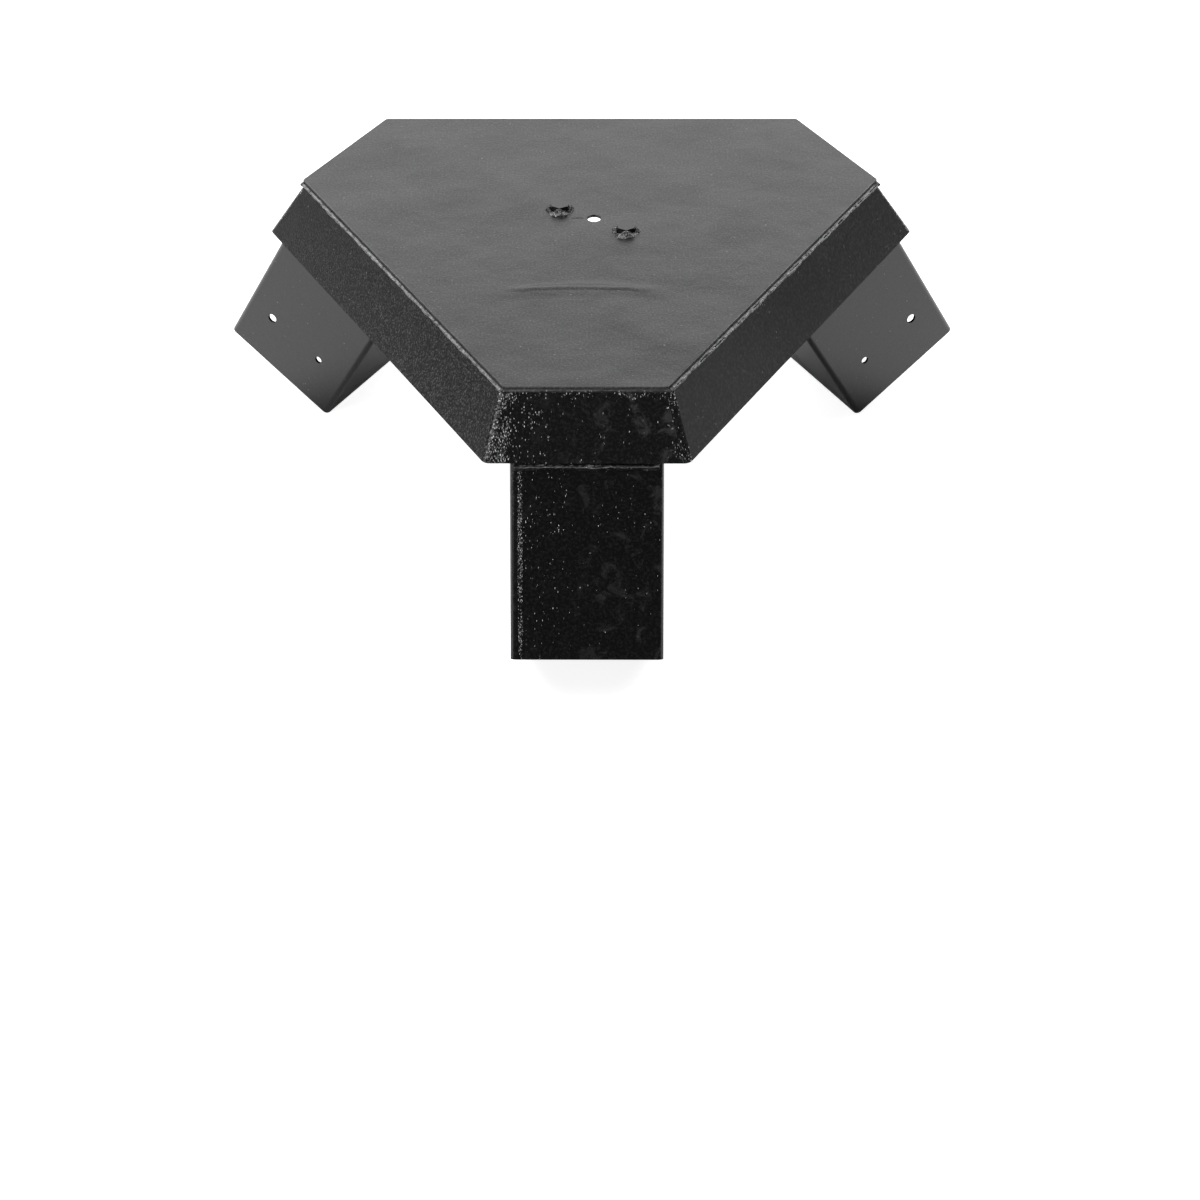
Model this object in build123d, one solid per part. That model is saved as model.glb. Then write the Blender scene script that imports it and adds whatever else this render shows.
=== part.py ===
from build123d import *
from math import cos, pi, radians, sin, tan
import os

# A welded head bracket: a flat top plate, a hood of six sloping skirt plates under its edges,
# and three splayed square sockets. Millimetres and degrees. The origin is on the centre hole's
# axis at the plate's top face, +Z is up, and -Y points to the front socket.

# Hub axis, about which the bracket is three-fold. The centre hole was drilled a little off it.
hub_x = -3.0
hub_y = -5.0

# Top plate. It was cut and laid by hand, so its edges stand out unevenly beyond the skirts.
plate_thickness = 2.0
plate_overhang = {
    "rear": 2.9,
    "left": -0.7,
    "right": -1.65,
    "front": -0.3,
    "rear_left": 2.3,
    "rear_right": 2.3,
}
plate_corner_radius = 2.5
plate_edge_radius = 0.9
centre_hole_diameter = 9.5

# Skirts, laid out round the sockets at the plate's underside. A slope is from the vertical.
skirt_thickness = 2.0
socket_front_gap = 5.75
socket_side_gap = 3.8
skirt_drop = 40.0
long_skirt_slope = 30.0
short_skirt_slope = 32.0

# Sockets of square tube for a 4 x 4 post, mitred against the underside of the top plate
tube_width = 95.25
tube_wall = 2.0
tube_corner_radius = 4.0
tube_tilt = 31.0
tube_reach = 136.5
tube_length = 201.5

# Screw holes through both side walls of a socket, with their distance from the tube's axis
hole_inset = 38.5
outer_hole_diameter = 7.0
outer_hole_offset = 25.0
inner_hole_diameter = 5.5
inner_hole_offset = -20.5

# Bolts through the top plate, with their heads welded down
bolt_diameter = 6.35
bolt_hole_clearance = 0.25
bolt_length = 19.0
bolt_end_chamfer = 0.6
head_across_flats = 11.1
head_height = 4.8
head_chamfer = 0.5
bolt_place = {"left": (-23.3, 11.2), "right": (21.5, -17.8)}

# Welds along the top plate's edges: proud and rough on the long ones, dressed flush on the short
edge_bead_rim = 0.4
long_bead_leg = 2.0
long_bead_bulge = 1.25
long_bead_wave = 0.3
long_bead_step = 7.5
short_bead_leg = 2.0
short_bead_bulge = 0.3
short_bead_wave = 0.15
short_bead_step = 15.0

# Dressed welds between skirts
corner_bead_radius = 7.0

# Welds between a skirt's lower edge and its socket
collar_bead_leg = 6.0
collar_bead_throat = 1.2
collar_bead_wave = 0.8
collar_bead_step = 6.0
collar_bead_overlap = 1.5

# Welds round the sockets' mitred ends, and round the bolt heads
root_bead_leg = 5.0
root_bead_toe = 0.5
ring_bead_radius = 9.5
ring_bead_height = 2.4
ring_bead_rim = 0.6
ring_bead_wave = 0.07
ring_bead_points = 14

long_side_angles = {"rear": 90, "left": 210, "right": 330}
short_side_angles = {"front": 270, "rear_left": 150, "rear_right": 30}
side_angles = {**long_side_angles, **short_side_angles}
corners = {
    "front_to_left": ("front", "left"),
    "front_to_right": ("front", "right"),
    "rear_left_to_left": ("rear_left", "left"),
    "rear_left_to_rear": ("rear_left", "rear"),
    "rear_right_to_rear": ("rear_right", "rear"),
    "rear_right_to_right": ("rear_right", "right"),
}

hub = Location((hub_x, hub_y, 0))
underside = -plate_thickness
head_corner_radius = head_across_flats / 2 / cos(pi / 6)


def outward(azimuth):
    return Vector(cos(radians(azimuth)), sin(radians(azimuth)), 0)


def section_plane(azimuth, along=0.0):
    """Upright plane square to a side: its X points outward from the hub axis and its Y up."""
    across = outward(azimuth + 90)
    return Plane(origin=across * along, x_dir=outward(azimuth), z_dir=across * -1)


def cut_beyond(solid, origin, direction):
    """Removes what lies beyond a plane, in the given direction."""
    return split(solid, bisect_by=Plane(origin=origin, z_dir=direction), keep=Keep.BOTTOM)


def slope_of(side):
    return radians(long_skirt_slope if side in long_side_angles else short_skirt_slope)


def wall_reach(z):
    """Reach of a socket's outer wall at height z."""
    return tube_reach - z * tan(radians(tube_tilt)) + tube_width / 2 / cos(radians(tube_tilt))


def face_reach(side, z):
    """Reach of a skirt's outer face at height z. The long skirts run past the sockets' side walls."""
    top_reach = wall_reach(underside) + socket_front_gap
    if side in long_side_angles:
        top_reach = top_reach * cos(pi / 3) + (tube_width / 2 + socket_side_gap) * sin(pi / 3)
    return top_reach + (underside - z) * tan(slope_of(side))


def edge_reach(side):
    """Reach of the top plate's edge."""
    return face_reach(side, underside) + plate_overhang[side]


def face_normal(side):
    slope = slope_of(side)
    return outward(side_angles[side]) * cos(slope) + Vector(0, 0, sin(slope))


def meeting_point(side_a, reach_a, side_b, reach_b, z):
    """Where two upright planes square to the sides meet at height z."""
    a = outward(side_angles[side_a])
    b = outward(side_angles[side_b])
    area = a.X * b.Y - a.Y * b.X
    return Vector((reach_a * b.Y - reach_b * a.Y) / area, (reach_b * a.X - reach_a * b.X) / area, z)


def corner_point(short, long, z):
    """Where the outer faces of two neighbouring skirts would meet at height z."""
    return meeting_point(short, face_reach(short, z), long, face_reach(long, z), z)


def corner_direction(short, long):
    top = corner_point(short, long, underside)
    return (corner_point(short, long, -skirt_drop) - top).normalized()


def corner_run(short, long):
    """How far the round of a corner weld reaches on to each of the two skirts."""
    turn = face_normal(short).get_angle(face_normal(long))
    return corner_bead_radius * tan(radians(turn / 2))


def inward_along(side, other, corner_line):
    """Direction in a skirt's face, square to the corner line and away from the other skirt."""
    direction = corner_line.cross(face_normal(side)).normalized()
    return direction * -1 if direction.dot(face_normal(other)) > 0 else direction


def corners_of(side):
    return [pair for pair in corners.values() if side in pair]


def make_top_plate():
    order = sorted(side_angles, key=side_angles.get)
    points = []
    for index, side in enumerate(order):
        following = order[(index + 1) % len(order)]
        points.append(meeting_point(side, edge_reach(side), following, edge_reach(following), 0))
    plate = extrude(make_face(Polyline(*points, close=True)), amount=-plate_thickness)
    plate = fillet(plate.edges().filter_by(Axis.Z), radius=plate_corner_radius)
    plate = fillet(plate.faces().sort_by(Axis.Z)[-1].edges(), radius=plate_edge_radius)
    drills = [Cylinder(centre_hole_diameter / 2, 4 * plate_thickness)]
    for place in bolt_place.values():
        drills.append(Pos(*place) * Cylinder(bolt_diameter / 2 + bolt_hole_clearance, 4 * plate_thickness))
    return hub * plate - drills


def make_skirt(side):
    """A sloping plate, bevelled to sit against the underside of the top plate."""
    slope = slope_of(side)
    top = (face_reach(side, underside), underside)
    bottom = (face_reach(side, -skirt_drop), -skirt_drop)
    inner_bottom = (bottom[0] - skirt_thickness * cos(slope), bottom[1] - skirt_thickness * sin(slope))
    inner_top = (top[0] - skirt_thickness / cos(slope), underside)
    profile = make_face(Polyline(top, bottom, inner_bottom, inner_top, close=True))
    skirt = extrude(section_plane(side_angles[side]) * profile, amount=face_reach("front", 0), both=True)
    for short, long in corners_of(side):
        other = long if side == short else short
        along = inward_along(side, other, corner_direction(short, long))
        end = corner_point(short, long, underside) + along * corner_run(short, long)
        skirt = cut_beyond(skirt, end, along * -1)
    return hub * skirt


def make_corner_bead(short, long):
    """Weld between two skirts, dressed to a round corner."""
    line = corner_direction(short, long)
    on_short = inward_along(short, long, line) * corner_run(short, long)
    on_long = inward_along(long, short, line) * corner_run(short, long)
    crown_normal = (face_normal(short) + face_normal(long)).normalized()
    crown = on_short + (crown_normal - face_normal(short)) * corner_bead_radius
    outside = ThreePointArc(on_short, crown, on_long)
    inside = Polyline(
        on_long,
        on_long - face_normal(long) * skirt_thickness,
        on_short - face_normal(short) * skirt_thickness,
        on_short,
    )
    start = corner_point(short, long, underside) - line * skirt_drop / 2
    bead = extrude(Location(start) * make_face([outside, inside]), amount=2 * skirt_drop, dir=line)
    bead = cut_beyond(bead, (0, 0, underside), (0, 0, 1))
    bead = cut_beyond(bead, (0, 0, -skirt_drop), (0, 0, -1))
    return hub * bead


def wave(step, phase):
    """Uneven swell of a hand-laid weld, between -1 and 1."""
    return 0.6 * sin(1.9 * step + phase) + 0.4 * sin(0.83 * step + 2.1 * phase)


def edge_bead_outline(side, depth, bulge):
    """Section of the weld in the corner of the plate's edge and a skirt's face."""
    points = [(face_reach(side, underside), underside), (edge_reach(side), underside)]
    if plate_overhang[side] < 0:
        points.append((edge_reach(side), underside + edge_bead_rim))
    crest_x, crest_z = points[-1]
    toe_x, toe_z = face_reach(side, underside - depth), underside - depth
    chord = Vector(toe_x - crest_x, toe_z - crest_z).normalized()
    brow = ((crest_x + toe_x) / 2 - bulge * chord.Y, (crest_z + toe_z) / 2 + bulge * chord.X)
    return make_face(Polyline(*points, brow, (toe_x, toe_z), close=True))


def make_edge_bead(side, leg, bulge, swell, spacing):
    """Weld along one edge of the top plate, with an uneven toe, mitred at the corners."""
    azimuth = side_angles[side]
    across = outward(azimuth + 90)
    ends = [corner_point(short, long, underside).dot(across) for short, long in corners_of(side)]
    low = min(ends) - 2 * leg
    length = max(ends) + 2 * leg - low
    steps = round(length / spacing)
    sections = []
    for step in range(steps + 1):
        outline = edge_bead_outline(side, leg + swell * wave(step, azimuth), bulge)
        sections.append(section_plane(azimuth, low + length * step / steps) * outline)
    bead = loft(sections, ruled=True)
    for short, long in corners_of(side):
        mitre = outward(side_angles[short]) - outward(side_angles[long])
        away = mitre * -1 if side == short else mitre
        bead = cut_beyond(bead, corner_point(short, long, underside), away)
    return hub * bead


def socket_frame(side):
    """Frame of a socket: Z runs down the tube from plate level, and Y points outward."""
    azimuth = short_side_angles[side]
    tilt = radians(tube_tilt)
    down = outward(azimuth) * sin(tilt) - Vector(0, 0, cos(tilt))
    return Plane(origin=outward(azimuth) * tube_reach, x_dir=outward(azimuth + 90), z_dir=down)


def tube_blank(frame, width, radius):
    """Square bar down the socket's axis, starting above the plate."""
    outline = Pos(0, 0, -tube_width) * RectangleRounded(width, width, radius)
    return frame * extrude(outline, amount=tube_length + tube_width)


def make_socket(side):
    """Square tube, mitred at the plate, with two screw holes through its side walls."""
    frame = socket_frame(side)
    tube = tube_blank(frame, tube_width, tube_corner_radius)
    tube -= tube_blank(frame, tube_width - 2 * tube_wall, tube_corner_radius - tube_wall)
    holes = ((outer_hole_offset, outer_hole_diameter), (inner_hole_offset, inner_hole_diameter))
    for offset, diameter in holes:
        place = Pos(0, offset, tube_length - hole_inset) * Rot(0, 90, 0)
        tube -= frame * place * Cylinder(diameter / 2, 2 * tube_width)
    return hub * cut_beyond(tube, (0, 0, underside), (0, 0, 1))


def make_collar_bead(side):
    """Weld that closes the gap between a skirt's lower edge and the socket's outer wall."""
    slope = slope_of(side)
    edge_x = face_reach(side, -skirt_drop) - skirt_thickness * cos(slope)
    edge_z = -skirt_drop - skirt_thickness * sin(slope)
    up_x = edge_x - skirt_thickness * sin(slope)
    up_z = edge_z + skirt_thickness * cos(slope)
    half_length = tube_width / 2 - tube_corner_radius + collar_bead_overlap
    steps = round(2 * half_length / collar_bead_step)
    sections = []
    for step in range(steps + 1):
        toe_z = edge_z - collar_bead_leg - collar_bead_wave * wave(step, short_side_angles[side])
        toe_x = wall_reach(toe_z)
        brow_x = (edge_x + toe_x) / 2 + collar_bead_throat * cos(slope)
        brow_z = (edge_z + toe_z) / 2 + collar_bead_throat * sin(slope)
        outline = Polyline(
            (wall_reach(up_z), up_z),
            (up_x, up_z),
            (edge_x, edge_z),
            (brow_x, brow_z),
            (toe_x, toe_z),
            close=True,
        )
        along = half_length * (2 * step / steps - 1)
        sections.append(section_plane(short_side_angles[side], along) * make_face(outline))
    return hub * loft(sections, ruled=True)


def make_root_bead(side):
    """Fillet weld under the top plate, round the inner and side walls of a socket."""
    azimuth = short_side_angles[side]
    tilt = radians(tube_tilt)
    sections = []
    for z, grow in ((underside, root_bead_leg), (underside - root_bead_leg, root_bead_toe)):
        centre = outward(azimuth) * (tube_reach - z * tan(tilt)) + Vector(0, 0, z)
        level = Plane(origin=centre, x_dir=outward(azimuth), z_dir=(0, 0, 1))
        size = (tube_width / cos(tilt) + 2 * grow, tube_width + 2 * grow)
        sections.append(level * RectangleRounded(*size, tube_corner_radius + grow))
    ring = loft(sections, ruled=True)
    ring -= tube_blank(socket_frame(side), tube_width, tube_corner_radius)
    outer_limit = outward(azimuth) * (tube_reach + tube_width / 4)
    return hub * cut_beyond(ring, outer_limit, outward(azimuth))


def head_blank(height):
    """Hexagonal bar with one corner towards the front."""
    return extrude(RegularPolygon(head_across_flats / 2, 6, major_radius=False, rotation=30), height)


def make_bolt(name):
    """Hex bolt, head up, with its shank through the top plate."""
    upward = (Align.CENTER, Align.CENTER, Align.MIN)
    turned = Cylinder(head_corner_radius, head_height, align=upward)
    turned = chamfer(turned.edges().sort_by(Axis.Z)[-1], length=head_chamfer)
    shank = Pos(0, 0, -bolt_length) * Cylinder(bolt_diameter / 2, bolt_length, align=upward)
    shank = chamfer(shank.edges().sort_by(Axis.Z)[0], length=bolt_end_chamfer)
    return Pos(*bolt_place[name]) * ((head_blank(head_height) & turned) + shank)


def make_bolt_bead(name):
    """Lumpy weld round a bolt head, from the plate to part way up the head."""
    sections = []
    for z, radius in ((0, ring_bead_radius), (ring_bead_height, head_corner_radius + ring_bead_rim)):
        points = []
        for step in range(ring_bead_points):
            angle = 2 * pi * step / ring_bead_points
            reach = radius * (1 + ring_bead_wave * wave(step, bolt_place[name][0]))
            points.append((reach * cos(angle), reach * sin(angle)))
        sections.append(Pos(0, 0, z) * make_face(Polyline(*points, close=True)))
    return Pos(*bolt_place[name]) * (loft(sections, ruled=True) - head_blank(head_height))


def make_parts():
    parts = {"top_plate": make_top_plate()}
    for side in long_side_angles:
        parts["long_skirt_" + side] = make_skirt(side)
        parts["edge_bead_" + side] = make_edge_bead(
            side, long_bead_leg, long_bead_bulge, long_bead_wave, long_bead_step
        )
    for side in short_side_angles:
        parts["short_skirt_" + side] = make_skirt(side)
        parts["edge_bead_" + side] = make_edge_bead(
            side, short_bead_leg, short_bead_bulge, short_bead_wave, short_bead_step
        )
        parts["socket_" + side] = make_socket(side)
        parts["collar_bead_" + side] = make_collar_bead(side)
        parts["root_bead_" + side] = make_root_bead(side)
    for corner, (short, long) in corners.items():
        parts["corner_bead_" + corner] = make_corner_bead(short, long)
    for name in bolt_place:
        parts["bolt_" + name] = make_bolt(name)
        parts["bolt_bead_" + name] = make_bolt_bead(name)
    return parts


os.makedirs("parts", exist_ok=True)
for node, solid in make_parts().items():
    export_step(solid, f"parts/{node}.step")
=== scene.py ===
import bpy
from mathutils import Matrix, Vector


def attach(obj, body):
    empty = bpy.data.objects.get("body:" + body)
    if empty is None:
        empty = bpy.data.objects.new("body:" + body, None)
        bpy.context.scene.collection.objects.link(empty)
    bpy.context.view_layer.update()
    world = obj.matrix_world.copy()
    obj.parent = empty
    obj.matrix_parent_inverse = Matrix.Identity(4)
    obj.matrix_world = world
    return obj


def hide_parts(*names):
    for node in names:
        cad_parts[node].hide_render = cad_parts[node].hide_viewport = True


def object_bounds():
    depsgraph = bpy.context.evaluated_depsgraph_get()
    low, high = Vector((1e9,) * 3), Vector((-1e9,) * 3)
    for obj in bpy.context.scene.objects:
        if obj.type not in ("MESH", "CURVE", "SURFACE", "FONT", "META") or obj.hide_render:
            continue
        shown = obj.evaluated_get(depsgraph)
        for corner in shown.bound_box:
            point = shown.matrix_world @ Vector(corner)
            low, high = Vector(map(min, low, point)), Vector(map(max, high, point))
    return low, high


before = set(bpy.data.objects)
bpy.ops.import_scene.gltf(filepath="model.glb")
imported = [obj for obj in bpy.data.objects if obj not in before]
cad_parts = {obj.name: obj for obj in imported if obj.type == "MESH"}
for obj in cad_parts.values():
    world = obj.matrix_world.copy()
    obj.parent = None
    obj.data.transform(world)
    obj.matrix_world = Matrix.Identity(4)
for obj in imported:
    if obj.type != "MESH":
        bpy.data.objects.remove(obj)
cadBox = [list(corner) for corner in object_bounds()]

import math

import bmesh
import bpy
from mathutils import Matrix, Vector, noise

scene = bpy.context.scene
scene.view_settings.view_transform = "Standard"

# places are in metres, from where the centre hole's axis meets the plate's top face
plateTop = 0.0
plateUnderside = -0.002
hub = Vector((-0.003, -0.005, 0.0))  # on the upright axis that the sockets splay from
longSides = {"rear": 90, "left": 210, "right": 330}  # the way each faces, in degrees from +X
shortSides = {"front": 270, "rear_left": 150, "rear_right": 30}


# node helpers

def addNode(tree, kind, **values):
    # a value is another node's output, a setting of the node, or what one of its inputs holds
    made = tree.nodes.new("ShaderNode" + kind)
    for name, value in values.items():
        if isinstance(value, bpy.types.NodeSocket):
            tree.links.new(value, made.inputs[name])
        elif hasattr(made, name):
            setattr(made, name, value)
        else:
            made.inputs[name].default_value = value
    return made


def compute(tree, operation, first, second=0.0, third=0.0):
    # a Math node whose inputs are numbers or other nodes' outputs
    made = tree.nodes.new("ShaderNodeMath")
    made.operation = operation
    for socket, value in zip(made.inputs, (first, second, third)):
        if isinstance(value, bpy.types.NodeSocket):
            tree.links.new(value, socket)
        else:
            socket.default_value = value
    return made.outputs["Value"]


def fade(tree, value, low, high):
    # 0 at low and 1 at high, whichever of the two is larger
    made = addNode(tree, "MapRange", interpolation_type="SMOOTHSTEP", Value=value)
    made.inputs["From Min"].default_value = low
    made.inputs["From Max"].default_value = high
    return made.outputs["Result"]


def riseFrom(tree, value, limits):
    # its least share at low and 1 at high
    low, high, least = limits
    return compute(tree, "MULTIPLY_ADD", fade(tree, value, low, high), 1.0 - least, least)


def distanceFrom(tree, value, middle):
    return compute(tree, "ABSOLUTE", compute(tree, "SUBTRACT", value, middle))


def newGroup(name, inputs, outputs):
    group = bpy.data.node_groups.new(name, "ShaderNodeTree")
    for label, value in inputs.items():
        kind = "NodeSocketVector" if label == "Place" else "NodeSocketFloat"
        socket = group.interface.new_socket(name=label, in_out="INPUT", socket_type=kind)
        if value is not None:
            socket.default_value = value
    for label in outputs:
        group.interface.new_socket(name=label, in_out="OUTPUT", socket_type="NodeSocketFloat")
    return group, group.nodes.new("NodeGroupInput"), group.nodes.new("NodeGroupOutput")


# camera, floor and lights

cameraSettings = {
    "place": (0.01454, -1.46587, 0.84812),
    "forward": (-0.00612, 0.77932, -0.6266),
    "up": (-0.0011, 0.6266, 0.77934),
    "lens": 74.435,
    "sensor": 36.0,
    "farthest": 60.0,
}


def makeCamera(settings):
    data = bpy.data.cameras.new("camera")
    data.lens = settings["lens"]
    data.sensor_width = settings["sensor"]
    data.clip_end = settings["farthest"]
    camera = bpy.data.objects.new("camera", data)
    scene.collection.objects.link(camera)
    forward = Vector(settings["forward"]).normalized()
    right = forward.cross(Vector(settings["up"])).normalized()
    up = right.cross(forward)
    turn = Matrix((right, up, -forward)).transposed()
    camera.matrix_world = Matrix.Translation(settings["place"]) @ turn.to_4x4()
    scene.camera = camera


worldSettings = {
    "fill": 0.16,  # what the object gets of it
    "seen": 1.0,  # what the camera sees of it
}


def makeWorld(settings):
    world = bpy.data.worlds.new("studio")
    scene.world = world
    world.use_nodes = True
    tree = world.node_tree
    tree.nodes.clear()
    path = addNode(tree, "LightPath")
    choose = addNode(tree, "Mix", Factor=path.outputs["Is Camera Ray"],
                     A=settings["fill"], B=settings["seen"])
    background = addNode(tree, "Background", Strength=choose.outputs["Result"])
    addNode(tree, "OutputWorld", Surface=background.outputs["Background"])


floorSettings = {
    "half": 12.0,
    "colour": (0.7, 0.7, 0.7, 1.0),
    "lift": 0.86,  # a glow that only the camera sees
    "mirrored": 0.92,  # a glow that only gloss sees
    "middle": -0.006,  # of the object, along X
    "under": 0.195,  # gloss sees no glow up to here from the middle
    "clear": 0.265,  # and the whole of it from here on
    "near": 0.5,  # it sees the whole of it up to here from the centre hole's axis
    "far": 2.0,  # and none from here on
}


def makeFloorPaper(settings):
    material = bpy.data.materials.new("floorPaper")
    material.use_nodes = True
    tree = material.node_tree
    tree.nodes.clear()
    path = addNode(tree, "LightPath")
    where = addNode(tree, "TexCoord").outputs["Object"]
    away = addNode(tree, "VectorMath", operation="LENGTH", Vector=where).outputs["Value"]
    split = addNode(tree, "SeparateXYZ", Vector=where)
    beside = distanceFrom(tree, split.outputs["X"], settings["middle"])
    near = fade(tree, away, settings["far"], settings["near"])
    clear = fade(tree, beside, settings["under"], settings["clear"])
    mirrored = compute(tree, "MULTIPLY", near, settings["mirrored"])
    mirrored = compute(tree, "MULTIPLY", mirrored, clear)
    mirrored = compute(tree, "MULTIPLY", path.outputs["Is Glossy Ray"], mirrored)
    glowing = compute(tree, "MULTIPLY_ADD", path.outputs["Is Camera Ray"], settings["lift"], mirrored)
    paper = addNode(tree, "BsdfDiffuse", Color=settings["colour"])
    glow = addNode(tree, "Emission", Strength=glowing)
    both = addNode(tree, "AddShader")
    tree.links.new(paper.outputs["BSDF"], both.inputs[0])
    tree.links.new(glow.outputs["Emission"], both.inputs[1])
    addNode(tree, "OutputMaterial", Surface=both.outputs["Shader"])
    return material


def makeFloor(settings, height):
    work = bmesh.new()
    bmesh.ops.create_grid(work, x_segments=1, y_segments=1, size=settings["half"])
    bmesh.ops.translate(work, verts=work.verts, vec=(0.0, 0.0, height))
    mesh = bpy.data.meshes.new("floor")
    work.to_mesh(mesh)
    work.free()
    mesh.materials.append(makeFloorPaper(settings))
    floor = bpy.data.objects.new("floor", mesh)
    scene.collection.objects.link(floor)


lampSettings = {
    # strength is the brightness of the lamp's face, where white paper in full light is 1
    "backBox": {"place": (0.0, 1.7, 0.865), "size": (2.0, 1.1), "strength": 1.95},
    "topBox": {"place": (-0.2, -0.1, 1.7), "size": (1.2, 1.0), "strength": 4.0},
    "backLeftBox": {"place": (-1.26, 1.08, 1.06), "size": (1.0, 1.1), "strength": 5.2},
    "backRightBox": {"place": (1.3, 1.05, 1.06), "size": (1.0, 1.1), "strength": 5.6},
    "leftBox": {"place": (-1.62, 1.1, 0.25), "size": (0.9, 0.5), "strength": 0.35},
    "rightBox": {"place": (1.9, 0.3, 0.35), "size": (1.2, 0.6), "strength": 0.1},
    "lowLeftBox": {"place": (-1.6, -0.75, 0.45), "size": (0.5, 0.5), "strength": 6.0},
    "frontTopBox": {"place": (-0.7, -1.0, 1.7), "size": (0.9, 0.9), "strength": 6.0},
}


def makeLamp(name, settings):
    # every lamp faces the centre hole
    data = bpy.data.lights.new(name, "AREA")
    data.shape = "RECTANGLE"
    data.size, data.size_y = settings["size"]
    data.energy = settings["strength"] * math.pi * data.size * data.size_y
    lamp = bpy.data.objects.new(name, data)
    scene.collection.objects.link(lamp)
    place = Vector(settings["place"])
    lamp.location = place
    lamp.rotation_euler = (-place).to_track_quat("-Z", "Y").to_euler()


makeCamera(cameraSettings)
makeWorld(worldSettings)
makeFloor(floorSettings, cadBox[0][2])
for lampName, lampLook in lampSettings.items():
    makeLamp(lampName, lampLook)
print("camera, floor and lights are up")


# what all the coats share

powderPattern = {
    "rippleDetail": 2.0,
    "rippleRough": 0.55,
    "rippleMiddle": 0.5,  # of the noise's values
    "waveScale": 0.22,  # of the ripple's scale
    "waveDetail": 1.0,
    "patchScale": 60.0,
    "patchDetail": 2.0,
    "patchEdge": (0.36, 0.64),
    "patchLeast": 0.3,  # of the share of grains, outside the patches
    "patchMore": 1.4,  # and on top of that inside them
    "dotEdge": (0.5, 0.2),  # from a cell's point, in cells
    "dotPower": 2.0,  # more of it makes bright painted glints fewer
    "dotLeast": 0.1,  # of the brightest grain's painted glint
}


def makePowderCoat(pattern):
    # orange peel of a powder coat in two sizes of ripple, with raised grains that come in patches;
    # for the colour it also gives the peel's painted light and shade and the grains' painted glints
    inputs = {"Place": None, "Ripple Size": 0.0014, "Ripple Depth": 0.00002, "Wave Depth": 0.00004,
              "Grain Size": 0.0022, "Grain Share": 0.1, "Grain Height": 0.00008, "Stretch": 1.0}
    tree, start, end = newGroup("powderCoat", inputs, ["Height", "PaintedGlints", "PeelShade"])
    place = start.outputs["Place"]

    perMetre = compute(tree, "DIVIDE", 1.0, start.outputs["Ripple Size"])
    ripple = addNode(tree, "TexNoise", Vector=place, Scale=perMetre,
                     Detail=pattern["rippleDetail"], Roughness=pattern["rippleRough"])
    wave = addNode(tree, "TexNoise", Vector=place, Detail=pattern["waveDetail"],
                   Scale=compute(tree, "MULTIPLY", perMetre, pattern["waveScale"]))

    # some of the cells hold a grain each, and Stretch draws both out along Y and Z
    narrow = compute(tree, "DIVIDE", 1.0, start.outputs["Stretch"])
    squash = addNode(tree, "CombineXYZ", X=1.0, Y=narrow, Z=narrow)
    drawn = addNode(tree, "VectorMath", operation="MULTIPLY")
    tree.links.new(place, drawn.inputs[0])
    tree.links.new(squash.outputs["Vector"], drawn.inputs[1])
    cell = addNode(tree, "TexVoronoi", feature="F1", Vector=drawn.outputs["Vector"],
                   Scale=compute(tree, "DIVIDE", 1.0, start.outputs["Grain Size"]))
    chosen = addNode(tree, "SeparateColor", Color=cell.outputs["Color"])
    patch = addNode(tree, "TexNoise", Vector=place,
                    Scale=pattern["patchScale"], Detail=pattern["patchDetail"])
    patchy = compute(tree, "MULTIPLY_ADD", fade(tree, patch.outputs["Fac"], *pattern["patchEdge"]),
                     pattern["patchMore"], pattern["patchLeast"])
    limit = compute(tree, "MULTIPLY", start.outputs["Grain Share"], patchy)
    kept = compute(tree, "LESS_THAN", chosen.outputs["Red"], limit)
    dot = compute(tree, "MULTIPLY", kept, fade(tree, cell.outputs["Distance"], *pattern["dotEdge"]))
    bright = compute(tree, "POWER", chosen.outputs["Green"], pattern["dotPower"])
    bright = compute(tree, "MULTIPLY_ADD", bright, 1.0 - pattern["dotLeast"], pattern["dotLeast"])

    height = compute(tree, "MULTIPLY", ripple.outputs["Fac"], start.outputs["Ripple Depth"])
    height = compute(tree, "MULTIPLY_ADD", wave.outputs["Fac"], start.outputs["Wave Depth"], height)
    height = compute(tree, "MULTIPLY_ADD", dot, start.outputs["Grain Height"], height)
    # the centred ripple, for painting the peel's light and shade into the colour
    peelShade = compute(tree, "SUBTRACT", ripple.outputs["Fac"], pattern["rippleMiddle"])
    tree.links.new(height, end.inputs["Height"])
    # the grains' painted glints: each grain's dot at its own brightness, for the colour
    tree.links.new(compute(tree, "MULTIPLY", dot, bright), end.inputs["PaintedGlints"])
    tree.links.new(peelShade, end.inputs["PeelShade"])
    return tree


handlingPattern = {
    "detail": 5.0,
    "rough": 0.62,
    "distortion": 0.6,
    "levelLeast": 0.3,  # smudges show where the noise is above this, for a share of 1
    "levelMore": 0.4,  # and above this on top of that, for a share of 0
    "edge": 0.14,
}


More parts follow.
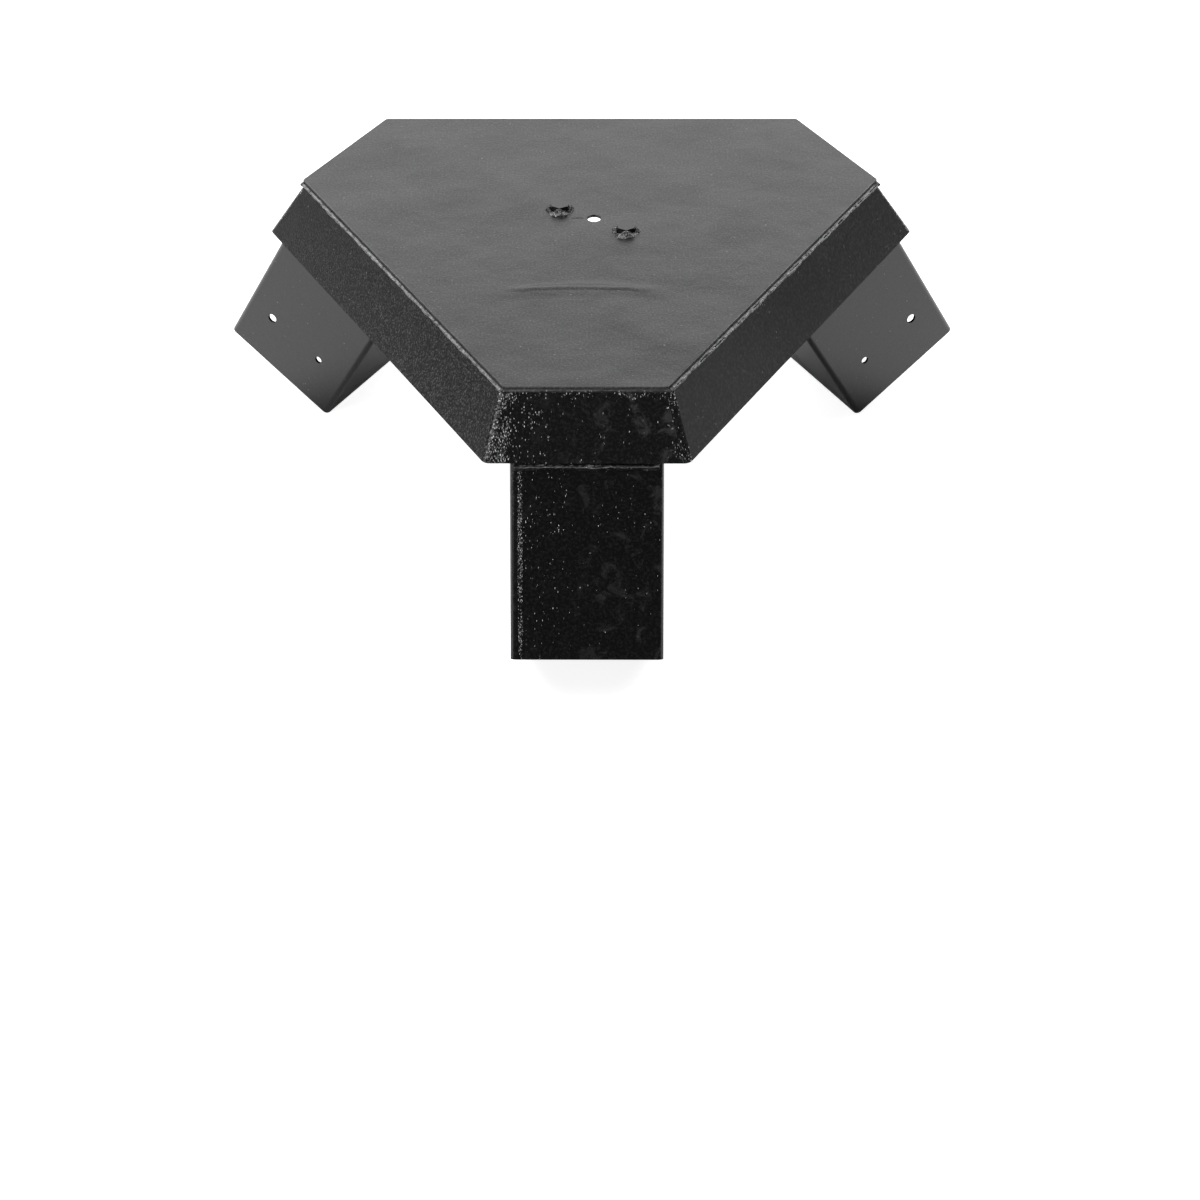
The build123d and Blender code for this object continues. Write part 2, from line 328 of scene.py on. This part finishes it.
def makeHandling(pattern):
    # faint matt smudges and dust left by handling, as a mask
    inputs = {"Place": None, "Size": 0.05, "Share": 0.4}
    tree, start, end = newGroup("handlingMarks", inputs, ["Smudge"])
    cloud = addNode(tree, "TexNoise", Vector=start.outputs["Place"], Detail=pattern["detail"],
                    Scale=compute(tree, "DIVIDE", 1.0, start.outputs["Size"]),
                    Roughness=pattern["rough"], Distortion=pattern["distortion"])
    clean = compute(tree, "SUBTRACT", 1.0, start.outputs["Share"])
    level = compute(tree, "MULTIPLY_ADD", clean, pattern["levelMore"], pattern["levelLeast"])
    above = compute(tree, "SUBTRACT", cloud.outputs["Fac"], level)
    tree.links.new(fade(tree, above, 0.0, pattern["edge"]), end.inputs["Smudge"])
    return tree


powderCoat = makePowderCoat(powderPattern)
handlingMarks = makeHandling(handlingPattern)


# the coats

coatLooks = {
    # paintedGlint: how bright the grains' painted glints are
    # peel: painted light and shade, how far the orange peel's lit and shaded sides differ in colour
    # peelShadeFrom: where along Y that painted light and shade is weakest and full, and its least
    # share
    # gloss: how strongly the coat mirrors, where that isn't plainGloss
    # paintedLightFrom: painted light, where along Y the colour begins to be painted lighter and is
    # fully so, and by what tone; the grains' painted glints show only there
    # crest: a painted highlight, a wavering light line along a bead's crest: its place along Z, half
    # width, wander and tone
    # stretch: how many times longer a grain is than it is wide
    # flank: half width of the sheet or tube at the plate, and its growth per metre down
    # grainBands: strips of thick grains, with their painted glints, along the left (-1) or right (1)
    #     flank: where inward from it a strip begins, is full, begins to thin and is gone, and its
    #         share
    # topGrains: where along Z the grains of the upper end begin and are full, and their share
    # grainsFrom: where along Z all these grains are thinnest and full, and their least share
    # smudgeFrom: where along X the dust begins and is full
    # warpDepth: how far the sheet is out of flat
    # ridges: from and to along X, place along Y, half width, height, and how far the ends bow
    "plateCoat": {
        "colour": 0.0075, "peelShade": 0.13, "roughness": 0.36, "smudgeRough": 0.08,
        "rippleSize": 0.0014, "rippleDepth": 0.00004, "waveDepth": 0.00014,
        "grainSize": 0.0018, "grainShare": 0.02, "grainHeight": 0.00005, "paintedGlint": 0.08,
        "smudgeSize": 0.06, "smudgeShare": 0.42, "dust": 0.008,
        "warpDepth": 0.0023,
        "ridges": [(-0.062, 0.046, -0.087, 0.005, 0.00045, 0.004),
                   (-0.066, 0.056, -0.09, 0.012, 0.0004, 0.005),
                   (-0.0155, -0.007, 0.0003, 0.0008, 0.0005, 0.0)],
    },
    "leftCoat": {
        "colour": 0.0065, "peelShade": 0.36, "roughness": 0.28, "smudgeRough": 0.06,
        "rippleSize": 0.0012, "rippleDepth": 0.0002, "waveDepth": 0.00003,
        "grainSize": 0.0016, "grainShare": 0.02, "grainHeight": 0.0001, "paintedGlint": 0.12,
        "smudgeSize": 0.05, "smudgeShare": 0.3, "dust": 0.003,
        "gloss": 0.35,
        "peelShadeFrom": (0.06, -0.16, 0.25),
        # painted light, lighter towards the flange's back
        "paintedLightFrom": (-0.16, 0.06, 0.008),
    },
    "flangeCoat": {
        "colour": 0.0055, "peelShade": 0.08, "roughness": 0.3, "smudgeRough": 0.06,
        "rippleSize": 0.002, "rippleDepth": 0.0001, "waveDepth": 0.00005,
        "grainSize": 0.0016, "grainShare": 0.015, "grainHeight": 0.0001, "paintedGlint": 0.12,
        "smudgeSize": 0.05, "smudgeShare": 0.3, "dust": 0.003,
        # painted light, lighter towards the right flange's front
        "paintedLightFrom": (-0.07, -0.17, 0.014),
    },
    "frontCoat": {
        "colour": 0.0025, "peelShade": 0.05, "roughness": 0.22, "smudgeRough": 0.1,
        "rippleSize": 0.0016, "rippleDepth": 0.00014, "waveDepth": 0.0001,
        "grainSize": 0.0007, "grainShare": 0.02, "grainHeight": 0.0002, "paintedGlint": 1.0,
        "smudgeSize": 0.012, "smudgeShare": 0.45, "dust": 0.025,
        "stretch": 2.2,
        "flank": (0.0511, 0.21),
        "grainBands": [(-1, -0.02, -0.0199, 0.004, 0.012, 1.5),
                       (-1, -0.02, -0.0199, 0.008, 0.048, 0.16),
                       (1, -0.02, -0.0199, 0.001, 0.006, 0.5)],
        "topGrains": (-0.008, -0.003, 0.3),
        "smudgeFrom": (-0.03, 0.03),
    },
    "frontTubeCoat": {
        "colour": 0.0025, "peelShade": 0.04, "roughness": 0.22, "smudgeRough": 0.1,
        "rippleSize": 0.0016, "rippleDepth": 0.00014, "waveDepth": 0.0001,
        "grainSize": 0.0006, "grainShare": 0.012, "grainHeight": 0.0002, "paintedGlint": 1.0,
        "smudgeSize": 0.012, "smudgeShare": 0.4, "dust": 0.018,
        "gloss": 0.4,
        "stretch": 2.2,
        "flank": (0.0476, 0.0),
        "grainBands": [(-1, 0.0044, 0.0055, 0.0064, 0.008, 3.0),
                       (-1, 0.005, 0.0061, 0.008, 0.05, 0.08)],
        "grainsFrom": (-0.15, -0.06, 0.35),
        "smudgeFrom": (-0.03, 0.025),
    },
    "tubeCoat": {
        "colour": 0.0055, "peelShade": 0.02, "roughness": 0.28, "smudgeRough": 0.06,
        "rippleSize": 0.0012, "rippleDepth": 0.00006, "waveDepth": 0.00005,
        "grainSize": 0.0016, "grainShare": 0.015, "grainHeight": 0.0001, "paintedGlint": 0.1,
        "smudgeSize": 0.05, "smudgeShare": 0.3, "dust": 0.003,
    },
    "weldCoat": {
        "colour": 0.014, "peelShade": 0.06, "roughness": 0.3, "smudgeRough": 0.06,
        "rippleSize": 0.0014, "rippleDepth": 0.00012, "waveDepth": 0.00012,
        "grainSize": 0.0012, "grainShare": 0.12, "grainHeight": 0.0001, "paintedGlint": 0.4,
        "smudgeSize": 0.01, "smudgeShare": 0.3, "dust": 0.01,
    },
    # the long beads' light grey colour, made patchy by the peel's painted shade, is a painted
    # highlight along them
    "edgeHighlightCoat": {
        "colour": 0.11, "peelShade": 0.45, "roughness": 0.32, "smudgeRough": 0.06,
        "rippleSize": 0.004, "rippleDepth": 0.0002, "waveDepth": 0.0001,
        "grainSize": 0.0012, "grainShare": 0.05, "grainHeight": 0.0001, "paintedGlint": 0.4,
        "smudgeSize": 0.01, "smudgeShare": 0.3, "dust": 0.01,
    },
    "collarCoat": {
        "colour": 0.005, "peelShade": 0.05, "roughness": 0.3, "smudgeRough": 0.06,
        "rippleSize": 0.0014, "rippleDepth": 0.00012, "waveDepth": 0.00012,
        "grainSize": 0.0011, "grainShare": 0.1, "grainHeight": 0.0001, "paintedGlint": 0.6,
        "smudgeSize": 0.01, "smudgeShare": 0.3, "dust": 0.003,
        # a painted highlight along the collar bead's crest
        "crestHighlight": (-0.0431, 0.0004, 0.0034, 0.2),
    },
    "glintCoat": {
        "colour": 0.006, "peelShade": 0.2, "roughness": 0.2, "smudgeRough": 0.05,
        "rippleSize": 0.0018, "rippleDepth": 0.0004, "waveDepth": 0.0002,
        "grainSize": 0.0007, "grainShare": 0.0, "grainHeight": 0.0002, "paintedGlint": 1.0,
        "smudgeSize": 0.01, "smudgeShare": 0.3, "dust": 0.01,
        "stretch": 2.2,
        "flank": (0.0511, 0.21),
        "grainBands": [(-1, -0.0032, -0.0019, 0.02, 0.03, 1.7)],
        "grainsFrom": (-0.004, -0.016, 0.2),
    },
    "cornerCoat": {
        "colour": 0.0055, "peelShade": 0.05, "roughness": 0.24, "smudgeRough": 0.05,
        "rippleSize": 0.0018, "rippleDepth": 0.0002, "waveDepth": 0.0001,
        "grainSize": 0.0007, "grainShare": 0.4, "grainHeight": 0.0002, "paintedGlint": 0.9,
        "smudgeSize": 0.01, "smudgeShare": 0.3, "dust": 0.01,
        "stretch": 2.2,
    },
    "ringCoatLeft": {
        "colour": 0.006, "peelShade": 0.08, "roughness": 0.26, "smudgeRough": 0.05,
        "rippleSize": 0.0016, "rippleDepth": 0.0003, "waveDepth": 0.0001,
        "grainSize": 0.001, "grainShare": 0.5, "grainHeight": 0.0002, "paintedGlint": 1.0,
        "smudgeSize": 0.01, "smudgeShare": 0.3, "dust": 0.01,
        # painted light on the ring's front, where alone its painted glints show
        "paintedLightFrom": (0.0075, 0.0035, 0.07),
    },
    "boltCoat": {
        "colour": 0.0075, "peelShade": 0.03, "roughness": 0.32, "smudgeRough": 0.05,
        "rippleSize": 0.0012, "rippleDepth": 0.00003, "waveDepth": 0.00004,
        "grainSize": 0.0014, "grainShare": 0.02, "grainHeight": 0.00004, "paintedGlint": 0.1,
        "smudgeSize": 0.006, "smudgeShare": 0.3, "dust": 0.003,
    },
}
coatLooks["ringCoatRight"] = dict(coatLooks["ringCoatLeft"], paintedLightFrom=(-0.0215, -0.0255, 0.07))

plainGloss = 0.5
darkest = 0.001  # that the orange peel's painted shade makes a coat
blueCast = 1.03
crestPattern = {"scale": 130.0, "detail": 3.0, "core": 0.5}  # core: how much of its width is full
warpPattern = {"scale": 17.0, "detail": 2.0, "rough": 0.4}
ridgePattern = {"scale": 120.0, "detail": 2.0, "wobble": 0.002, "taper": 0.25}  # taper: of its length
coatInputs = {"Ripple Size": "rippleSize", "Ripple Depth": "rippleDepth", "Wave Depth": "waveDepth",
              "Grain Size": "grainSize", "Grain Share": "grainShare", "Grain Height": "grainHeight"}


def spreadGrains(tree, look, x, z):
    # the share of cells that hold a grain, from place to place
    spread = look["grainShare"]
    width, growth = look["flank"]
    for side, begins, full, thins, gone, share in look["grainBands"]:
        outer = compute(tree, "MULTIPLY_ADD", z, -growth, width + side * hub.x)
        inward = compute(tree, "MULTIPLY_ADD", x, -side, outer)
        strip = compute(tree, "MULTIPLY", fade(tree, inward, begins, full), share)
        strip = compute(tree, "MULTIPLY", fade(tree, inward, gone, thins), strip)
        spread = compute(tree, "MAXIMUM", spread, strip)
    if "topGrains" in look:
        begins, full, share = look["topGrains"]
        top = compute(tree, "MULTIPLY", fade(tree, z, begins, full), share)
        spread = compute(tree, "MAXIMUM", spread, top)
    if "grainsFrom" in look:
        spread = compute(tree, "MULTIPLY", spread, riseFrom(tree, z, look["grainsFrom"]))
    return spread


# a painted highlight: a wavering light line along a bead's crest, added to the colour
def paintCrestHighlight(tree, crestHighlight, where, z, tone):
    height, half, wander, light = crestHighlight
    drift = addNode(tree, "TexNoise", Vector=where,
                    Scale=crestPattern["scale"], Detail=crestPattern["detail"])
    level = compute(tree, "MULTIPLY_ADD", drift.outputs["Fac"], wander, height - wander / 2)
    line = fade(tree, distanceFrom(tree, z, level), half, half * crestPattern["core"])
    return compute(tree, "MULTIPLY_ADD", line, light, tone)


def mixTone(tree, look, coat, smudge, where, x, y, z):
    # the powder's own tone with the orange peel's painted light and shade, and on it dust, painted
    # light, the grains' painted glints and a crest's painted highlight, each of which adds light
    # painted light and shade: the orange peel's ripple lightens and darkens the colour
    peelShade = look["peelShade"]
    if "peelShadeFrom" in look:
        peelShade = compute(tree, "MULTIPLY", riseFrom(tree, y, look["peelShadeFrom"]), peelShade)
    tone = compute(tree, "MULTIPLY_ADD", coat.outputs["PeelShade"], peelShade, look["colour"])
    tone = compute(tree, "MAXIMUM", tone, darkest)
    dust = look["dust"]
    if "smudgeFrom" in look:
        dust = compute(tree, "MULTIPLY", fade(tree, x, *look["smudgeFrom"]), dust)
    tone = compute(tree, "MULTIPLY_ADD", smudge, dust, tone)
    glint = look["paintedGlint"]
    # painted light: the colour is lighter from where along Y it begins, and the grains' painted
    # glints show only there
    if "paintedLightFrom" in look:
        begins, full, light = look["paintedLightFrom"]
        paintedLight = fade(tree, y, begins, full)
        tone = compute(tree, "MULTIPLY_ADD", paintedLight, light, tone)
        glint = compute(tree, "MULTIPLY", paintedLight, glint)
    # the grains' painted glints lighten the colour in bright dots
    tone = compute(tree, "MULTIPLY_ADD", coat.outputs["PaintedGlints"], glint, tone)
    if "crestHighlight" in look:
        tone = paintCrestHighlight(tree, look["crestHighlight"], where, z, tone)
    return tone


def raiseRidge(tree, ridge, where, x, y, relief):
    left, right, along, half, height, bow = ridge
    wobble = addNode(tree, "TexNoise", Vector=where,
                     Scale=ridgePattern["scale"], Detail=ridgePattern["detail"])
    depth = ridgePattern["wobble"]
    level = compute(tree, "MULTIPLY_ADD", wobble.outputs["Fac"], depth, along - depth / 2)
    # arm is -1 at the left end and 1 at the right one
    arm = compute(tree, "MULTIPLY_ADD", x, 2 / (right - left), -(right + left) / (right - left))
    level = compute(tree, "MULTIPLY_ADD", compute(tree, "MULTIPLY", arm, arm), -bow, level)
    raised = compute(tree, "MULTIPLY", fade(tree, distanceFrom(tree, y, level), half, 0.0), height)
    reach = (right - left) * ridgePattern["taper"]
    raised = compute(tree, "MULTIPLY", fade(tree, x, left, left + reach), raised)
    raised = compute(tree, "MULTIPLY", fade(tree, x, right, right - reach), raised)
    return compute(tree, "ADD", raised, relief)


def shapeRelief(tree, look, coat, where, x, y):
    relief = coat.outputs["Height"]
    if "warpDepth" in look:
        warp = addNode(tree, "TexNoise", Vector=where, Scale=warpPattern["scale"],
                       Detail=warpPattern["detail"], Roughness=warpPattern["rough"])
        relief = compute(tree, "MULTIPLY_ADD", warp.outputs["Fac"], look["warpDepth"], relief)
    for ridge in look.get("ridges", ()):
        relief = raiseRidge(tree, ridge, where, x, y, relief)
    return relief


def makeCoat(name, look):
    material = bpy.data.materials.new(name)
    material.use_nodes = True
    tree = material.node_tree
    where = addNode(tree, "TexCoord").outputs["Object"]
    split = addNode(tree, "SeparateXYZ", Vector=where)
    x, y, z = (split.outputs[axis] for axis in "XYZ")

    coat = addNode(tree, "Group", node_tree=powderCoat, Place=where, Stretch=look.get("stretch", 1.0))
    for label, key in coatInputs.items():
        coat.inputs[label].default_value = look[key]
    if "grainBands" in look:
        tree.links.new(spreadGrains(tree, look, x, z), coat.inputs["Grain Share"])
    marks = addNode(tree, "Group", node_tree=handlingMarks, Place=where,
                    Size=look["smudgeSize"], Share=look["smudgeShare"])
    smudge = marks.outputs["Smudge"]

    tone = mixTone(tree, look, coat, smudge, where, x, y, z)
    blue = compute(tree, "MULTIPLY", tone, blueCast)
    tint = addNode(tree, "CombineColor", Red=tone, Green=tone, Blue=blue)
    rough = compute(tree, "MULTIPLY_ADD", smudge, look["smudgeRough"], look["roughness"])
    relief = shapeRelief(tree, look, coat, where, x, y)
    bump = addNode(tree, "Bump", Strength=1.0, Distance=1.0, Height=relief)

    shader = tree.nodes["Principled BSDF"]
    shader.inputs["Specular IOR Level"].default_value = look.get("gloss", plainGloss)
    tree.links.new(tint.outputs["Color"], shader.inputs["Base Color"])
    tree.links.new(rough, shader.inputs["Roughness"])
    tree.links.new(bump.outputs["Normal"], shader.inputs["Normal"])
    return material


coats = {name: makeCoat(name, look) for name, look in coatLooks.items()}
print("coats are mixed")


# welds

weldLooks = {
    # voxel is how fine the mesh is; lump and ripple are how far each stands off the plain run, and
    # lumpSize and rippleSize how long each is; brow is how far the crown first moves out and up
    "edge": {
        "voxel": 0.0005,
        "lumpSize": 0.006, "lump": 0.0006, "rippleSize": 0.0022, "ripple": 0.0003,
        "brow": (0.0004, -0.0003),
        # the skirt's face: how far from the hub at the plate's underside, and degrees from upright
        "skirtReach": 0.144, "skirtSlope": 30.0,
        # the crown is further than proud out of that face, and lower than above over the underside
        "proud": 0.0002, "above": 0.0004,
    },
    "flush": {
        "voxel": 0.00025,
        "lumpSize": 0.009, "lump": 0.00018, "rippleSize": 0.0025, "ripple": 0.0001,
    },
    "collar": {
        "voxel": 0.0005,
        "lumpSize": 0.007, "lump": 0.0009, "rippleSize": 0.0022, "ripple": 0.0003,
        "brow": (0.0012, 0.001),
        "crown": (0.3, 0.62),  # from and to, in shares of the bead's height
    },
    "root": {
        "voxel": 0.001,
        "lumpSize": 0.009, "lump": 0.0004, "rippleSize": 0.003, "ripple": 0.00025,
    },
    "ring": {
        "voxel": 0.00035,
        "lumpSize": 0.0032, "lump": 0.0008, "rippleSize": 0.0014, "ripple": 0.0003,
        "ceiling": 0.0046,
        # how many steps it climbs in front, and sinks at sinkAt degrees to either side of that
        "step": 0.001, "climb": 2.0, "sink": 1.5, "sinkAt": 52.0, "spread": 20.0,
    },
}
mergeWithin = 0.00001
smoothing = 0.5


def mergedCopy(node, name):
    # a copy of a CAD node's mesh with its loose triangles joined
    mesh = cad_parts[node].data.copy()
    work = bmesh.new()
    work.from_mesh(mesh)
    bmesh.ops.remove_doubles(work, verts=work.verts, dist=mergeWithin)
    bmesh.ops.recalc_face_normals(work, faces=work.faces)
    work.to_mesh(mesh)
    work.free()
    mesh.materials.clear()
    piece = bpy.data.objects.new(name, mesh)
    scene.collection.objects.link(piece)
    return piece


def outwardOf(azimuth):
    angle = math.radians(azimuth)
    return Vector((math.cos(angle), math.sin(angle), 0.0))


def browShift(azimuth, look):
    outward, upward = look["brow"]
    return outwardOf(azimuth) * outward + Vector((0.0, 0.0, upward))


def moveEdgeBrow(mesh, azimuth, look):
    outward = outwardOf(azimuth)
    shift = browShift(azimuth, look)
    lean = math.tan(math.radians(look["skirtSlope"]))
    for vert in mesh.vertices:
        face = look["skirtReach"] + (plateUnderside - vert.co.z) * lean
        proud = (vert.co - hub).dot(outward) - face
        if proud > look["proud"] and vert.co.z < plateUnderside + look["above"]:
            vert.co += shift


def moveCollarBrow(mesh, azimuth, look):
    shift = browShift(azimuth, look)
    lower, upper = look["crown"]
    heights = [vert.co.z for vert in mesh.vertices]
    lowest, highest = min(heights), max(heights)
    for vert in mesh.vertices:
        share = (vert.co.z - lowest) / (highest - lowest)
        if lower < share < upper:
            vert.co += shift


def raiseFront(mesh, look):
    # the ring of weld climbs to the head's top in front and sinks on either side of that
    low = [min(vert.co[axis] for vert in mesh.vertices) for axis in range(3)]
    high = [max(vert.co[axis] for vert in mesh.vertices) for axis in range(3)]
    middle = Vector([(a + b) / 2 for a, b in zip(low, high)])
    for vert in mesh.vertices:
        arm = vert.co - middle
        turn = math.degrees(math.atan2(arm.y, arm.x)) + 90.0  # from the front
        share = vert.co.z / high[2]
        front = math.exp(-(turn / look["spread"]) ** 2)
        flanks = math.exp(-((abs(turn) - look["sinkAt"]) / look["spread"]) ** 2)
        vert.co.z += look["step"] * share * (look["climb"] * front - look["sink"] * flanks)


def remeshed(piece, voxel):
    modifier = piece.modifiers.new("fine", "REMESH")
    modifier.mode = "VOXEL"
    modifier.voxel_size = voxel
    bpy.context.view_layer.update()
    evaluated = piece.evaluated_get(bpy.context.evaluated_depsgraph_get())
    fine = bpy.data.meshes.new_from_object(evaluated)
    piece.modifiers.clear()
    return fine


def keepLargest(work):
    # a remesh leaves crumbs off thin edges
    seen = set()
    islands = []
    for start in work.verts:
        if start in seen:
            continue
        seen.add(start)
        island = [start]
        for vert in island:
            for edge in vert.link_edges:
                other = edge.other_vert(vert)
                if other not in seen:
                    seen.add(other)
                    island.append(other)
        islands.append(island)
    islands.sort(key=len)
    for island in islands[:-1]:
        bmesh.ops.delete(work, geom=island, context="VERTS")


def layLumps(mesh, look):
    # a ring alone stands above the plate's top
    ceiling = look.get("ceiling", plateTop)
    work = bmesh.new()
    work.from_mesh(mesh)
    keepLargest(work)
    bmesh.ops.smooth_vert(work, verts=work.verts, factor=smoothing,
                          use_axis_x=True, use_axis_y=True, use_axis_z=True)
    work.normal_update()
    moves = []
    for vert in work.verts:
        lump = noise.noise(vert.co / look["lumpSize"]) * look["lump"]
        ripple = noise.noise(vert.co / look["rippleSize"]) * look["ripple"]
        moves.append(vert.normal * (lump + ripple))
    for vert, move in zip(work.verts, moves):
        vert.co += move
        vert.co.z = min(vert.co.z, ceiling)
    for face in work.faces:
        face.smooth = True
    work.to_mesh(mesh)
    work.free()


def makeWeld(node, name, kind, coat, azimuth=None):
    look = weldLooks[kind]
    piece = mergedCopy(node, name)
    if kind == "edge":
        moveEdgeBrow(piece.data, azimuth, look)
    elif kind == "collar":
        moveCollarBrow(piece.data, azimuth, look)
    elif kind == "ring":
        raiseFront(piece.data, look)
    piece.data = remeshed(piece, look["voxel"])
    layLumps(piece.data, look)
    piece.data.materials.clear()
    piece.data.materials.append(coats[coat])
    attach(piece, "root")
    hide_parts(node)


for side, azimuth in longSides.items():
    makeWeld("edge_bead_" + side, "edgeWeld_" + side, "edge", "edgeHighlightCoat", azimuth)
for side, azimuth in shortSides.items():
    makeWeld("edge_bead_" + side, "flushWeld_" + side, "flush", "weldCoat")
    makeWeld("collar_bead_" + side, "collarWeld_" + side, "collar", "collarCoat", azimuth)
    makeWeld("root_bead_" + side, "rootWeld_" + side, "root", "weldCoat")
for side in ("left", "right"):
    makeWeld("bolt_bead_" + side, "boltWeld_" + side, "ring", "ringCoat" + side.capitalize())
print("welds are laid")


# plate, skirts, sockets and bolts

nodeCoats = {
    # by how a node's name begins
    "top_plate": "plateCoat",
    "long_skirt_left": "leftCoat",
    "long_skirt_rear": "flangeCoat",
    "long_skirt_right": "flangeCoat",
    "short_skirt_": "frontCoat",
    "socket_front": "frontTubeCoat",
    "socket_rear": "tubeCoat",
    "corner_bead_front_to_left": "glintCoat",
    "corner_bead_front_to_right": "cornerCoat",
    "corner_bead_rear": "cornerCoat",
    "bolt_left": "boltCoat",
    "bolt_right": "boltCoat",
}
for node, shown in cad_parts.items():
    for beginning, coat in nodeCoats.items():
        if node.startswith(beginning):
            shown.data.materials.clear()
            shown.data.materials.append(coats[coat])
print("sheet and tube are coated")
